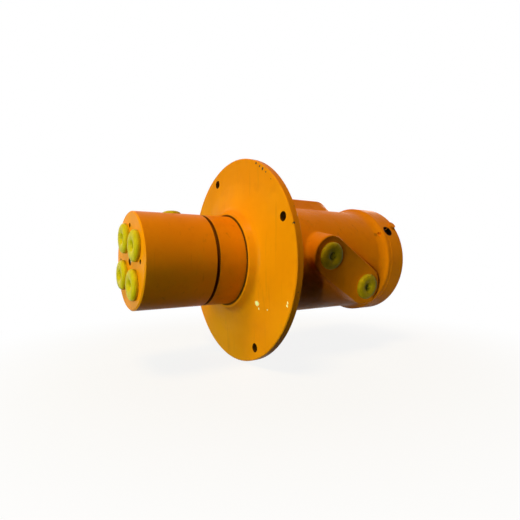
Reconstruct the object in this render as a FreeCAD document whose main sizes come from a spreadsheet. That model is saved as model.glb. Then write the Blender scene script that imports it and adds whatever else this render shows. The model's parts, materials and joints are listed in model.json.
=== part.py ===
import FreeCAD, Part

import math
import os
import re

import Sketcher

# Hydraulic rotary union for the swing joint of a machine.
# Frame: X runs along the axis of rotation, from the core's hose face to the end cover, and Z is up.
# The origin is the centre of the flange's rear face, which bolts to the machine.
# Angles about the axis start at -Y and rise towards +Z. All lengths are millimetres.

SIZES = {
    # Flange with its dished hub
    "flange_radius": 110.0,
    "flange_thickness": 8.0,
    "flange_hole_radius": 4.5,
    "flange_hole_margin_width": 11.5,
    "flange_hole_angle": 24.0,
    "dish_width": 24.8,
    "dish_depth": 3.6,
    "hub_corner_width": 5.0,
    "hub_taper_width": 2.7,
    "hub_root_height": 7.5,
    "hub_wall": 13.5,
    "hub_height": 12.5,
    "edge_chamfer_width": 0.8,
    # Barrel and its end flange
    "barrel_wall": 24.0,
    "barrel_root_radius": 3.0,
    "end_flange_step_height": 5.5,
    "end_flange_width": 5.0,
    "flare_length": 13.6,
    "recess_depth": 17.6,
    # Port pads and the drain boss on the barrel
    "pad_rise_height": 10.0,
    "pad_radius": 22.0,
    "pad_angle": 349.0,
    "pad_slant_height": 18.0,
    "rear_pad_rise_height": 12.0,
    "rear_pad_angle": 115.0,
    "rear_pad_radius": 23.5,
    "rear_pad_overhang_length": 13.0,
    "rear_pad_draft_angle": 20.0,
    "rear_pad_edge_radius": 5.0,
    "rear_pad_root_radius": 6.5,
    "drain_boss_rise_height": 6.0,
    "drain_boss_radius": 15.0,
    "drain_boss_angle": 205.0,
    "pad_chamfer_width": 1.0,
    "pad_root_radius": 4.0,
    "lock_spot_radius": 2.6,
    "lock_spot_depth": 2.0,
    "lock_spot_margin_width": 4.5,
    "lock_spot_angle": 28.5,
    # Oil circuits, one groove in the core for each, with a seal groove between them
    "front_land_width": 18.35,
    "seal_land_width": 3.25,
    "rear_land_width": 2.25,
    "oil_groove_width": 9.0,
    "oil_groove_depth": 4.0,
    "port_radius": 9.5,
    "port_depth": 16.0,
    "passage_radius": 6.0,
    "cross_hole_radius": 4.0,
    "drain_port_radius": 5.9,
    "drain_port_depth": 12.0,
    "drain_passage_radius": 3.5,
    # Running surfaces and seals
    "journal_radius": 38.0,
    "running_clearance": 0.05,
    "bore_clearance": 0.25,
    "fit_clearance": 0.03,
    "side_clearance": 0.05,
    "bush_wall": 4.0,
    "front_bush_length": 26.0,
    "rear_bush_length": 14.0,
    "seal_groove_width": 5.0,
    "seal_groove_depth": 5.25,
    "slipper_thickness": 2.25,
    "dust_seal_width": 7.0,
    "dust_seal_height": 5.0,
    "thrust_washer_thickness": 3.0,
    "thrust_washer_width": 8.3,
    "thrust_washer_clearance": 0.2,
    # Core
    "shoulder_height": 9.5,
    "head_length": 68.5,
    "head_chamfer_width": 1.2,
    "lock_groove_width": 4.0,
    "lock_groove_depth": 3.5,
    "collar_step_height": 0.2,
    "collar_length": 28.2,
    "seam_clearance": 0.8,
    "core_port_wall": 12.0,
    "core_port_angle": 32.0,
    "face_hole_radius": 2.1,
    "face_hole_depth": 12.0,
    "face_hole_wall": 13.5,
    "face_hole_angle": 89.0,
    "centre_hole_radius": 4.25,
    "centre_hole_depth": 22.0,
    "core_drain_angle": 95.0,
    "core_drain_distance": 42.5,
    "spotface_radius": 10.6,
    "spotface_depth": 2.9,
    "drain_bore_radius": 4.0,
    # Thrust plate on the inner end of the core
    "plate_overlap_width": 8.0,
    "plate_clearance": 2.0,
    "plate_thickness": 7.5,
    "plate_hole_radius": 11.0,
    "plate_screw_wall": 14.0,
    "plate_screw_angle": 77.0,
    "plate_thread_length": 16.0,
    "dowel_radius": 2.5,
    "dowel_length": 13.0,
    "dowel_angle": 122.0,
    "stopper_radius": 6.5,
    "stopper_length": 10.0,
    # End cover and its screws
    "cover_thickness": 23.4,
    "cover_chamfer_width": 2.0,
    "cover_dish_margin_width": 16.5,
    "cover_dish_depth": 1.5,
    "spigot_length": 6.0,
    "spigot_clearance": 0.15,
    "spigot_wall": 12.0,
    "cover_end_wall": 11.0,
    "cover_ring_width": 2.4,
    "cover_screw_wall": 8.5,
    "cover_thread_length": 15.0,
    "cover_screw_angle": 1.0,
    "pry_notch_width": 11.0,
    "pry_notch_length": 9.0,
    "pry_notch_depth": 4.0,
    "cover_lug_radius": 4.5,
    "cover_lug_height": 2.5,
    "cover_lug_margin_width": 6.5,
    "cover_lug_angle": 38.0,
    # M8 socket screws, for the cover and the thrust plate
    "screw_radius": 4.0,
    "screw_head_radius": 6.5,
    "screw_head_height": 8.0,
    "socket_width": 6.0,
    "socket_depth": 4.0,
    "screw_hole_clearance": 0.5,
    "thread_clearance": 0.05,
    "counterbore_clearance": 0.5,
    "spring_washer_thickness": 2.0,
    # Push-in transport plugs
    "plug_cap_radius": 14.75,
    "plug_cap_height": 5.2,
    "plug_edge_width": 2.0,
    "plug_stem_length": 11.0,
    "plug_wall": 2.0,
    "plug_clearance": 0.1,
    "plug_lead_width": 1.2,
    "plug_crown_width": 4.4,
    "plug_funnel_depth": 5.0,
    "plug_funnel_taper_width": 2.4,
    "small_plug_cap_radius": 10.0,
}

CIRCUITS = 5
SEALS = CIRCUITS + 1
CORE_PORTS = 4
COVER_SCREWS = 6
PLATE_SCREWS = 4
FLANGE_HOLES = 4

# Stations along the axis, as formulas of the sizes
HUB_FACE = "(-flange_thickness - hub_height)"
SHOULDER = f"({HUB_FACE} - seam_clearance)"
WASHER_POCKET = f"({SHOULDER} + thrust_washer_thickness + 2 * side_clearance)"
DUST_POCKET = f"({WASHER_POCKET} + dust_seal_width + 2 * side_clearance)"
FRONT_BUSH_END = f"({DUST_POCKET} + front_bush_length)"
COLLAR_START = f"({SHOULDER} - collar_length)"
HEAD_END = f"({COLLAR_START} - lock_groove_width)"
HOSE_FACE = f"({HEAD_END} - head_length)"
CORE_DRAIN = f"({HOSE_FACE} + core_drain_distance)"
PITCH = "(oil_groove_width + seal_groove_width + 2 * seal_land_width)"
FIRST_SEAL = f"({FRONT_BUSH_END} + front_land_width + seal_groove_width / 2)"
LAST_SEAL = f"({FIRST_SEAL} + {CIRCUITS} * {PITCH})"
REAR_BUSH_START = f"({LAST_SEAL} + seal_groove_width / 2 + rear_land_width)"
RECESS_FLOOR = f"({REAR_BUSH_START} + rear_bush_length)"
BARREL_END = f"({RECESS_FLOOR} + recess_depth)"
CORE_END = f"({RECESS_FLOOR} + thrust_washer_thickness + 2 * side_clearance)"
PLATE_BACK = f"({CORE_END} + plate_thickness)"
COVER_BACK = f"({BARREL_END} + cover_thickness)"
SCREW_SEAT = f"({COVER_BACK} - screw_head_height - spring_washer_thickness - edge_chamfer_width)"

# Radii and heights over the axis, which follow from the journal
BORE = "(journal_radius + bore_clearance)"
RUNNING_BORE = "(journal_radius + running_clearance)"
BUSH_OUTER = f"({RUNNING_BORE} + bush_wall)"
SEAL_GROOVE = f"({BORE} + seal_groove_depth)"
DUST_OUTER = f"({RUNNING_BORE} + dust_seal_height)"
WASHER_OUTER = "(journal_radius + thrust_washer_width)"
HEAD = "(journal_radius + shoulder_height)"
PLATE = "(journal_radius + plate_overlap_width)"
RECESS = f"({PLATE} + plate_clearance)"
SPIGOT = f"({RECESS} - spigot_clearance)"
BARREL = "(journal_radius + barrel_wall)"
END_FLANGE = f"({BARREL} + end_flange_step_height)"
HUB = "(journal_radius + hub_wall)"
PAD_HEIGHT = f"({BARREL} + pad_rise_height)"
REAR_PAD_HEIGHT = f"({BARREL} + rear_pad_rise_height)"
DRAIN_BOSS_HEIGHT = f"({BARREL} + drain_boss_rise_height)"
SPOTFACE_HEIGHT = f"({HEAD} - spotface_depth)"

# Radii of the circles that holes stand on
FLANGE_HOLE_CIRCLE = "(flange_radius - flange_hole_margin_width)"
CORE_PORT_CIRCLE = "(journal_radius - core_port_wall)"
FACE_HOLE_CIRCLE = f"({HEAD} - face_hole_wall)"
PLATE_SCREW_CIRCLE = "(journal_radius - plate_screw_wall)"
COVER_SCREW_CIRCLE = f"({RECESS} + cover_screw_wall)"

document = FreeCAD.newDocument("rotary_union")
sheet = document.addObject("Spreadsheet::Sheet", "Sizes")
for row, (alias, size) in enumerate(SIZES.items(), start=1):
    sheet.set(f"A{row}", alias)
    sheet.set(f"B{row}", str(size))
    sheet.setAlias(f"B{row}", alias)
document.recompute()


def bound(formula):
    """The formula with each size named in the sheet."""
    return re.sub(r"[a-z][a-z_]+", lambda word: linked_word(word.group()), str(formula))


def linked_word(word):
    return f"Sizes.{word}" if word in SIZES else word


def number(formula):
    """What the formula comes to with the sheet's sizes."""
    return float(sheet.evalExpression(bound(formula)))


def circuit(index):
    """Station of an oil circuit, counted from 0 at the flange."""
    return f"({FIRST_SEAL} + ({index} + 1 / 2) * {PITCH})"


def new_body(label):
    body = document.addObject("PartDesign::Body", label)
    body.Label = label
    return body


def origin_item(body, role):
    return next(item for item in body.Origin.OriginFeatures if item.Role == role)


def attach(body, name, role):
    """An empty sketch on one of the body's own origin planes."""
    sketch = body.newObject("Sketcher::SketchObject", name)
    sketch.AttachmentSupport = [(origin_item(body, role), "")]
    sketch.MapMode = "FlatFace"
    return sketch


def lengthwise_sketch(body, name):
    """Sketch plane that holds the axis: across is X, up is the radius."""
    return attach(body, name, "XZ_Plane")


def cross_sketch(body, name, station):
    """Sketch plane square to the axis at a station: across is Y, up is Z."""
    sketch = attach(body, name, "YZ_Plane")
    sketch.setExpression("AttachmentOffset.Base.z", bound(station))
    return sketch


def tangent_sketch(body, name, angle, height):
    """Sketch plane beside the axis: across is X, its normal points outward at the angle."""
    sketch = attach(body, name, "XZ_Plane")
    base = f"vector(0; {height} * sin({angle}); {height} * cos({angle}))"
    turned_outward = f"rotation(vector(-1; 0; 0); {angle})"
    sketch.setExpression("AttachmentOffset", bound(f"placement({base}; {turned_outward})"))
    return sketch


def fix_point(sketch, edge, end, across, up):
    """Holds one point of the sketch at two formulas."""
    places = (("DistanceX", across, -2), ("DistanceY", up, -1))
    for kind, formula, axis in places:
        if formula == "0":
            sketch.addConstraint(Sketcher.Constraint("PointOnObject", edge, end, axis))
            continue
        index = sketch.addConstraint(Sketcher.Constraint(kind, -1, 1, edge, end, number(formula)))
        sketch.setExpression(f"Constraints[{index}]", bound(formula))


def smooth_arc(start, end, heading):
    """Arc that leaves the start along the heading, and its own heading at the end."""
    chord = end - start
    side = FreeCAD.Vector(-heading.y, heading.x, 0)
    radius = chord.dot(chord) / (2 * chord.dot(side))
    centre = start + side * radius
    middle = centre + (start + end - centre * 2).normalize() * abs(radius)
    way = chord.normalize()
    return Part.Arc(start, middle, end), way * (2 * way.dot(heading)) - heading


def draw_outline(sketch, corners):
    """Closed outline through the corners, two formulas each. A corner that ends in "arc" is
    reached by an arc that leaves the corner before it without a kink."""
    points = [FreeCAD.Vector(number(corner[0]), number(corner[1]), 0) for corner in corners]
    heading = None
    ends = []
    for start, end, corner in zip(points, points[1:] + points[:1], corners[1:] + corners[:1]):
        curved = corner[-1] == "arc"
        if curved:
            shape, heading = smooth_arc(start, end, heading)
        else:
            shape = Part.LineSegment(start, end)
            heading = (end - start).normalize()
        edge = sketch.addGeometry(shape, False)
        forward = sketch.getPoint(edge, 1).distanceToPoint(start) < 1e-6
        ends.append((edge, 1, 2, curved) if forward else (edge, 2, 1, curved))
    for before, after in zip(ends[-1:] + ends[:-1], ends):
        kind = "Tangent" if after[3] else "Coincident"
        sketch.addConstraint(Sketcher.Constraint(kind, before[0], before[2], after[0], after[1]))
    for (edge, first, last, curved), corner in zip(ends, corners):
        fix_point(sketch, edge, first, corner[0], corner[1])


def draw_circle(sketch, across, up, radius):
    centre = FreeCAD.Vector(number(across), number(up), 0)
    edge = sketch.addGeometry(Part.Circle(centre, FreeCAD.Vector(0, 0, 1), number(radius)), False)
    fix_point(sketch, edge, 3, across, up)
    index = sketch.addConstraint(Sketcher.Constraint("Radius", edge, number(radius)))
    sketch.setExpression(f"Constraints[{index}]", bound(radius))


def draw_slot(sketch, first, last, radius):
    """Obround outline around two centres, which may stand aslant."""
    centres = [FreeCAD.Vector(number(across), number(up), 0) for across, up in (first, last)]
    along = (centres[1] - centres[0]).normalize()
    side = FreeCAD.Vector(-along.y, along.x, 0) * number(radius)
    ahead = along * number(radius)
    near = sketch.addGeometry(Part.Arc(centres[0] + side, centres[0] - ahead, centres[0] - side), False)
    low = sketch.addGeometry(Part.LineSegment(centres[0] - side, centres[1] - side), False)
    far = sketch.addGeometry(Part.Arc(centres[1] - side, centres[1] + ahead, centres[1] + side), False)
    top = sketch.addGeometry(Part.LineSegment(centres[1] + side, centres[0] + side), False)
    for before, after in ((near, low), (low, far), (far, top), (top, near)):
        sketch.addConstraint(Sketcher.Constraint("Tangent", before, 2, after, 1))
    sketch.addConstraint(Sketcher.Constraint("Equal", near, far))
    fix_point(sketch, near, 3, *first)
    fix_point(sketch, far, 3, *last)
    index = sketch.addConstraint(Sketcher.Constraint("Radius", near, number(radius)))
    sketch.setExpression(f"Constraints[{index}]", bound(radius))


def turned(body, name, kind, corners, angle=360):
    """Revolution or Groove about the axis from an outline that holds it."""
    sketch = lengthwise_sketch(body, name + "_outline")
    draw_outline(sketch, corners)
    feature = body.newObject(kind, name)
    feature.Profile = sketch
    feature.ReferenceAxis = (sketch, ["H_Axis"])
    feature.Angle = angle
    return feature


def turn(body, name, corners, angle=360):
    return turned(body, name, "PartDesign::Revolution", corners, angle)


def turn_away(body, name, corners):
    return turned(body, name, "PartDesign::Groove", corners)


def raise_pad(body, name, sketch, length):
    """Material from the sketch, along its normal."""
    feature = body.newObject("PartDesign::Pad", name)
    feature.Profile = sketch
    feature.setExpression("Length", bound(length))
    return feature


def sink(body, name, sketch, depth, along_normal=False):
    """Cut from the sketch, against its normal or along it."""
    feature = body.newObject("PartDesign::Pocket", name)
    feature.Profile = sketch
    feature.Reversed = along_normal
    feature.setExpression("Length", bound(depth))
    return feature


def around_axis(body, name, feature, count):
    pattern = body.newObject("PartDesign::PolarPattern", name)
    pattern.Originals = [feature]
    pattern.Axis = (origin_item(body, "X_Axis"), [""])
    pattern.Angle = 360
    pattern.Occurrences = count
    body.Tip = pattern
    return pattern


def along_axis(body, name, feature, count, pitch):
    pattern = body.newObject("PartDesign::LinearPattern", name)
    pattern.Originals = [feature]
    pattern.Direction = (origin_item(body, "X_Axis"), [""])
    pattern.setExpression("Length", bound(f"{count - 1} * {pitch}"))
    pattern.Occurrences = count
    body.Tip = pattern
    return pattern


def dress_edges(body, kind, name, measure, size, chosen):
    """Fillet or chamfer on the edges of the body's last feature for which the test holds."""
    document.recompute()
    base = body.Tip
    names = [f"Edge{place}" for place, edge in enumerate(base.Shape.Edges, start=1) if chosen(edge)]
    feature = body.newObject(kind, name)
    feature.Base = (base, names)
    feature.setExpression(measure, bound(size))
    return feature


def polar(radius, angle):
    """Place in a cross sketch, as two formulas."""
    return f"(-{radius} * cos({angle}))", f"({radius} * sin({angle}))"


def ring(label, start, end, inner, outer, angle=360):
    """Plain turned ring between two stations and two radii."""
    body = new_body(label)
    turn(body, "section", [(start, inner), (start, outer), (end, outer), (end, inner)], angle)
    return body


def housing_casting():
    """Flange, dished hub and barrel in one turned form."""
    body = new_body("housing")
    front = "-flange_thickness"
    flange_edge = "(flange_radius - edge_chamfer_width)"
    hub_root = f"({HUB} + hub_taper_width)"
    dish = f"({hub_root} + hub_corner_width)"
    flange_start = f"({BARREL_END} - end_flange_width)"
    turn(body, "casting", [
        (HUB_FACE, "0"),
        (HUB_FACE, HUB),
        (f"{front} - hub_root_height", hub_root),
        (f"{front} - dish_depth", dish, "arc"),
        (front, f"{dish} + dish_width", "arc"),
        (front, flange_edge),
        (f"{front} + edge_chamfer_width", "flange_radius"),
        ("-edge_chamfer_width", "flange_radius"),
        ("0", flange_edge),
        ("0", f"{BARREL} + barrel_root_radius"),
        ("barrel_root_radius", BARREL, "arc"),
        (f"{flange_start} - flare_length", BARREL),
        (flange_start, END_FLANGE, "arc"),
        (BARREL_END, END_FLANGE),
        (BARREL_END, "0"),
    ])
    return body


def milled_pads(body):
    """Slanted port pad and the drain boss, each raised from the axis before the bore is cut."""
    slanted = tangent_sketch(body, "front_pad_outline", "pad_angle", "0")
    draw_slot(slanted, (circuit(1), "pad_slant_height"), (circuit(4), "-pad_slant_height"), "pad_radius")
    raise_pad(body, "front_pad", slanted, PAD_HEIGHT)
    boss = tangent_sketch(body, "drain_boss_outline", "drain_boss_angle", "0")
    draw_circle(boss, circuit(2), "0", "drain_boss_radius")
    raise_pad(body, "drain_boss", boss, DRAIN_BOSS_HEIGHT)
    dress_edges(body, "PartDesign::Fillet", "pad_roots", "Radius", "pad_root_radius", lies_on_barrel)
    dress_edges(body, "PartDesign::Chamfer", "pad_edges", "Size", "pad_chamfer_width", lies_on_milled_face)


def swelling_pad(body):
    """Rear port pad, a cast swelling: its walls lean outward down to the barrel and blend in."""
    level = tangent_sketch(body, "rear_pad_outline", "rear_pad_angle", REAR_PAD_HEIGHT)
    far_end = f"({circuit(3)} + rear_pad_overhang_length)"
    draw_slot(level, (circuit(0), "0"), (far_end, "0"), "rear_pad_radius")
    drafted = raise_pad(body, "rear_pad", level, f"{REAR_PAD_HEIGHT} / 2")
    drafted.Reversed = True
    drafted.setExpression("TaperAngle", bound("rear_pad_draft_angle"))
    dress_edges(body, "PartDesign::Fillet", "rear_pad_root", "Radius", "rear_pad_root_radius",
                lies_on_rear_pad_root)
    dress_edges(body, "PartDesign::Fillet", "rear_pad_edges", "Radius", "rear_pad_edge_radius",
                lies_on_rear_pad_face)


def points_along(edge):
    start, end = edge.ParameterRange
    return [edge.valueAt(start + (end - start) * step / 8) for step in range(9)]


def all_near(values, target):
    return all(abs(value - target) < 0.01 for value in values)


def lies_on_barrel(edge):
    """True for an edge on the barrel's surface that runs neither round it nor straight along it."""
    places = points_along(edge)
    runs_round = all_near([place.x for place in places], places[0].x)
    runs_along = all_near([place.y for place in places], places[0].y)
    on_barrel = all_near([math.hypot(place.y, place.z) for place in places], number(BARREL))
    return on_barrel and not runs_round and not runs_along


def heights_towards(edge, angle):
    """Heights over the axis of the edge's points, measured outward at the angle."""
    turn_to_face = FreeCAD.Rotation(FreeCAD.Vector(-1, 0, 0), number(angle))
    outward = turn_to_face.multVec(FreeCAD.Vector(0, -1, 0))
    return [place.dot(outward) for place in points_along(edge)]


def lies_on_face(edge, angle, height):
    """True for an edge in the plane that looks outward at the angle, at the height."""
    return all_near(heights_towards(edge, angle), number(height))


def lies_on_milled_face(edge):
    on_front_pad = lies_on_face(edge, "pad_angle", PAD_HEIGHT)
    return on_front_pad or lies_on_face(edge, "drain_boss_angle", DRAIN_BOSS_HEIGHT)


def lies_on_rear_pad_face(edge):
    return lies_on_face(edge, "rear_pad_angle", REAR_PAD_HEIGHT)


def lies_on_rear_pad_root(edge):
    return lies_on_barrel(edge) and min(heights_towards(edge, "rear_pad_angle")) > number(BARREL) / 2


def housing_bore(body):
    """Stepped bore from the hub to the end flange, with the seal grooves."""
    turn_away(body, "bore", [
        (HUB_FACE, "0"),
        (HUB_FACE, f"{WASHER_OUTER} + thrust_washer_clearance"),
        (WASHER_POCKET, f"{WASHER_OUTER} + thrust_washer_clearance"),
        (WASHER_POCKET, f"{DUST_OUTER} + fit_clearance"),
        (DUST_POCKET, f"{DUST_OUTER} + fit_clearance"),
        (DUST_POCKET, f"{BUSH_OUTER} + fit_clearance"),
        (FRONT_BUSH_END, f"{BUSH_OUTER} + fit_clearance"),
        (FRONT_BUSH_END, BORE),
        (REAR_BUSH_START, BORE),
        (REAR_BUSH_START, f"{BUSH_OUTER} + fit_clearance"),
        (RECESS_FLOOR, f"{BUSH_OUTER} + fit_clearance"),
        (RECESS_FLOOR, RECESS),
        (BARREL_END, RECESS),
        (BARREL_END, "0"),
    ])
    start = f"{FIRST_SEAL} - seal_groove_width / 2"
    end = f"{FIRST_SEAL} + seal_groove_width / 2"
    below_bore = "journal_radius"
    groove = turn_away(body, "seal_groove", [
        (start, below_bore), (start, SEAL_GROOVE), (end, SEAL_GROOVE), (end, below_bore)])
    along_axis(body, "seal_grooves", groove, SEALS, PITCH)


def drill_port(body, name, angle, height, place, port, depth, passage):
    """Port in a pad and the passage that joins it to the bore."""
    mouth = tangent_sketch(body, name + "_mouth", angle, height)
    draw_circle(mouth, place[0], place[1], port)
    sink(body, name, mouth, depth)
    inner = tangent_sketch(body, name + "_passage_mouth", angle, height)
    draw_circle(inner, place[0], place[1], passage)
    sink(body, name + "_passage", inner, f"{height} - journal_radius / 2")


def housing_ports():
    """Each port in a pad: its angle, its height and its place in the pad's plane."""
    return (
        ("pad_angle", PAD_HEIGHT, (circuit(1), "pad_slant_height")),
        ("pad_angle", PAD_HEIGHT, (circuit(4), "-pad_slant_height")),
        ("rear_pad_angle", REAR_PAD_HEIGHT, (circuit(0), "0")),
        ("rear_pad_angle", REAR_PAD_HEIGHT, (circuit(3), "0")),
    )


def housing_holes(body):
    for index, (angle, height, place) in enumerate(housing_ports(), start=1):
        drill_port(body, f"port_{index}", angle, height, place,
                   "port_radius", "port_depth", "passage_radius")
    drill_port(body, "drain_port", "drain_boss_angle", DRAIN_BOSS_HEIGHT, (circuit(2), "0"),
               "drain_port_radius", "drain_port_depth", "drain_passage_radius")
    flange = cross_sketch(body, "flange_hole_place", "0")
    draw_circle(flange, *polar(FLANGE_HOLE_CIRCLE, "flange_hole_angle"), "flange_hole_radius")
    hole = sink(body, "flange_hole", flange, "flange_thickness + dish_depth")
    around_axis(body, "flange_holes", hole, FLANGE_HOLES)
    joint = cross_sketch(body, "cover_thread_place", BARREL_END)
    draw_circle(joint, *polar(COVER_SCREW_CIRCLE, "cover_screw_angle"), "screw_radius + thread_clearance")
    thread = sink(body, "cover_thread", joint, "cover_thread_length + screw_radius / 2")
    around_axis(body, "cover_threads", thread, COVER_SCREWS)
    spot = tangent_sketch(body, "lock_spot_mouth", "lock_spot_angle", END_FLANGE)
    draw_circle(spot, f"{BARREL_END} - end_flange_width - lock_spot_margin_width", "0", "lock_spot_radius")
    sink(body, "lock_spot", spot, "end_flange_step_height / 2 + lock_spot_depth")


def make_housing():
    body = housing_casting()
    milled_pads(body)
    swelling_pad(body)
    housing_bore(body)
    housing_holes(body)
    return body


def make_bushes():
    bushes = (("front_bush", f"{DUST_POCKET} + side_clearance", FRONT_BUSH_END),
              ("rear_bush", REAR_BUSH_START, f"{RECESS_FLOOR} - side_clearance"))
    return [ring(label, start, end, RUNNING_BORE, BUSH_OUTER) for label, start, end in bushes]


def make_seals():
    """Slipper rings that run on the core, and the square rings that press them inward."""
    slipper_outer = f"({RUNNING_BORE} + slipper_thickness)"
    pieces = []
    for index in range(SEALS):
        middle = f"({FIRST_SEAL} + {index} * {PITCH})"
        start = f"{middle} - seal_groove_width / 2 + side_clearance"
        end = f"{middle} + seal_groove_width / 2 - side_clearance"
        pieces.append(ring(f"slipper_ring_{index + 1}", start, end, RUNNING_BORE, slipper_outer))
        pieces.append(ring(f"energiser_ring_{index + 1}", start, end,
                           f"{slipper_outer} + fit_clearance", f"{SEAL_GROOVE} - fit_clearance"))
    return pieces


def make_dust_seal():
    """Wiper behind the front thrust washer, with a lip that leans on the core."""
    body = new_body("dust_seal")
    start = f"({WASHER_POCKET} + side_clearance)"
    end = f"({DUST_POCKET} - side_clearance)"
    turn(body, "section", [
        (start, RUNNING_BORE),
        (start, DUST_OUTER),
        (end, DUST_OUTER),
        (end, f"{RUNNING_BORE} + dust_seal_height / 2"),
        (f"{start} + dust_seal_width / 2", f"{RUNNING_BORE} + dust_seal_height / 2"),
        (f"{start} + dust_seal_width / 4", RUNNING_BORE),
    ])
    return body


def make_thrust_washers():
    front = ring("front_thrust_washer", f"{SHOULDER} + side_clearance", f"{WASHER_POCKET} - side_clearance",
                 RUNNING_BORE, WASHER_OUTER)
    rear = ring("rear_thrust_washer", f"{RECESS_FLOOR} + side_clearance", f"{CORE_END} - side_clearance",
                RUNNING_BORE, WASHER_OUTER)
    return [front, rear]


def make_core():
    """Rotor: hose head, lock groove, collar and the journal with its oil grooves."""
    body = new_body("core")
    groove_floor = f"({HEAD} - lock_groove_depth)"
    collar = f"({HEAD} - collar_step_height)"
    turn(body, "rotor", [
        (HOSE_FACE, "0"),
        (HOSE_FACE, f"{HEAD} - head_chamfer_width"),
        (f"{HOSE_FACE} + head_chamfer_width", HEAD),
        (HEAD_END, HEAD),
        (HEAD_END, groove_floor),
        (COLLAR_START, groove_floor),
        (COLLAR_START, collar),
        (SHOULDER, collar),
        (SHOULDER, "journal_radius"),
        (CORE_END, "journal_radius"),
        (CORE_END, "0"),
    ])
    start = f"{circuit(0)} - oil_groove_width / 2"
    end = f"{circuit(0)} + oil_groove_width / 2"
    floor = "journal_radius - oil_groove_depth"
    over = BORE
    groove = turn_away(body, "oil_groove", [(start, floor), (start, over), (end, over), (end, floor)])
    along_axis(body, "oil_grooves", groove, CIRCUITS, PITCH)
    core_passages(body)
    core_drain(body)
    core_threads(body)
    return body


def core_port_angle(index):
    return f"(core_port_angle + {index} * 360 / {CORE_PORTS})"


def core_port_place(index):
    return polar(CORE_PORT_CIRCLE, core_port_angle(index))


def core_passages(body):
    """Each hose port runs along the core to its own oil groove."""
    served = (1, 0, 3, 4)
    for index, target in enumerate(served):
        mouth = cross_sketch(body, f"hose_port_{index + 1}_mouth", HOSE_FACE)
        draw_circle(mouth, *core_port_place(index), "port_radius")
        sink(body, f"hose_port_{index + 1}", mouth, "port_depth", along_normal=True)
        lead = cross_sketch(body, f"passage_{index + 1}_mouth", HOSE_FACE)
        draw_circle(lead, *core_port_place(index), "passage_radius")
        sink(body, f"passage_{index + 1}", lead, f"{circuit(target)} - {HOSE_FACE} + passage_radius",
             along_normal=True)
        angle = core_port_angle(index)
        cross = tangent_sketch(body, f"cross_hole_{index + 1}_mouth", angle, CORE_PORT_CIRCLE)
        draw_circle(cross, circuit(target), "0", "cross_hole_radius")
        sink(body, f"cross_hole_{index + 1}", cross, "core_port_wall", along_normal=True)


def core_drain(body):
    """Leak-off: a radial port on the head, a bore down the middle and a hole to its groove."""
    spot = tangent_sketch(body, "drain_spot_outline", "core_drain_angle", SPOTFACE_HEIGHT)
    draw_circle(spot, CORE_DRAIN, "0", "spotface_radius")
    sink(body, "drain_spot", spot, "2 * spotface_depth", along_normal=True)
    port = tangent_sketch(body, "leak_port_mouth", "core_drain_angle", SPOTFACE_HEIGHT)
    draw_circle(port, CORE_DRAIN, "0", "drain_port_radius")
    sink(body, "leak_port", port, "drain_port_depth")
    lead = tangent_sketch(body, "leak_lead_mouth", "core_drain_angle", SPOTFACE_HEIGHT)
    draw_circle(lead, CORE_DRAIN, "0", "drain_passage_radius")
    sink(body, "leak_lead", lead, SPOTFACE_HEIGHT)
    middle = cross_sketch(body, "drain_bore_mouth", CORE_END)
    draw_circle(middle, "0", "0", "drain_bore_radius")
    sink(body, "drain_bore", middle, f"{CORE_END} - {CORE_DRAIN} + 2 * drain_passage_radius")
    seat = cross_sketch(body, "stopper_thread_mouth", CORE_END)
    draw_circle(seat, "0", "0", "stopper_radius + thread_clearance")
    sink(body, "stopper_thread", seat, "stopper_length + edge_chamfer_width")
    cross = tangent_sketch(body, "drain_cross_mouth", "plate_screw_angle", "0")
    draw_circle(cross, circuit(2), "0", "drain_passage_radius")
    sink(body, "drain_cross", cross, "journal_radius", along_normal=True)


def core_threads(body):
    """Tapped holes in the hose face and in the inner end."""
    centre = cross_sketch(body, "centre_hole_mouth", HOSE_FACE)
    draw_circle(centre, "0", "0", "centre_hole_radius")
    sink(body, "centre_hole", centre, "centre_hole_depth", along_normal=True)
    face = cross_sketch(body, "face_hole_mouth", HOSE_FACE)
    draw_circle(face, *polar(FACE_HOLE_CIRCLE, "face_hole_angle"), "face_hole_radius")
    hole = sink(body, "face_hole", face, "face_hole_depth", along_normal=True)
    around_axis(body, "face_holes", hole, CORE_PORTS)
    inner = cross_sketch(body, "plate_thread_mouth", CORE_END)
    draw_circle(inner, *polar(PLATE_SCREW_CIRCLE, "plate_screw_angle"), "screw_radius + thread_clearance")
    thread = sink(body, "plate_thread", inner, "plate_thread_length + screw_radius / 2")
    around_axis(body, "plate_threads", thread, PLATE_SCREWS)
    dowel = cross_sketch(body, "dowel_mouth", CORE_END)
    draw_circle(dowel, *polar(PLATE_SCREW_CIRCLE, "dowel_angle"), "dowel_radius + fit_clearance")
    sink(body, "dowel_hole", dowel, "dowel_length - plate_thickness + edge_chamfer_width")


def make_thrust_plate():
    """Disc that keeps the core in the housing."""
    body = new_body("thrust_plate")
    turn(body, "disc", [
        (CORE_END, "plate_hole_radius"),
        (CORE_END, PLATE),
        (f"{PLATE_BACK} - edge_chamfer_width", PLATE),
        (PLATE_BACK, f"{PLATE} - edge_chamfer_width"),
        (PLATE_BACK, "plate_hole_radius"),
    ])
    face = cross_sketch(body, "screw_hole_place", PLATE_BACK)
    draw_circle(face, *polar(PLATE_SCREW_CIRCLE, "plate_screw_angle"), "screw_radius + screw_hole_clearance")
    hole = sink(body, "screw_hole", face, "plate_thickness")
    around_axis(body, "screw_holes", hole, PLATE_SCREWS)
    dowel = cross_sketch(body, "dowel_place", PLATE_BACK)
    draw_circle(dowel, *polar(PLATE_SCREW_CIRCLE, "dowel_angle"), "dowel_radius + fit_clearance")
    sink(body, "dowel_hole", dowel, "plate_thickness")
    return body


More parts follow.
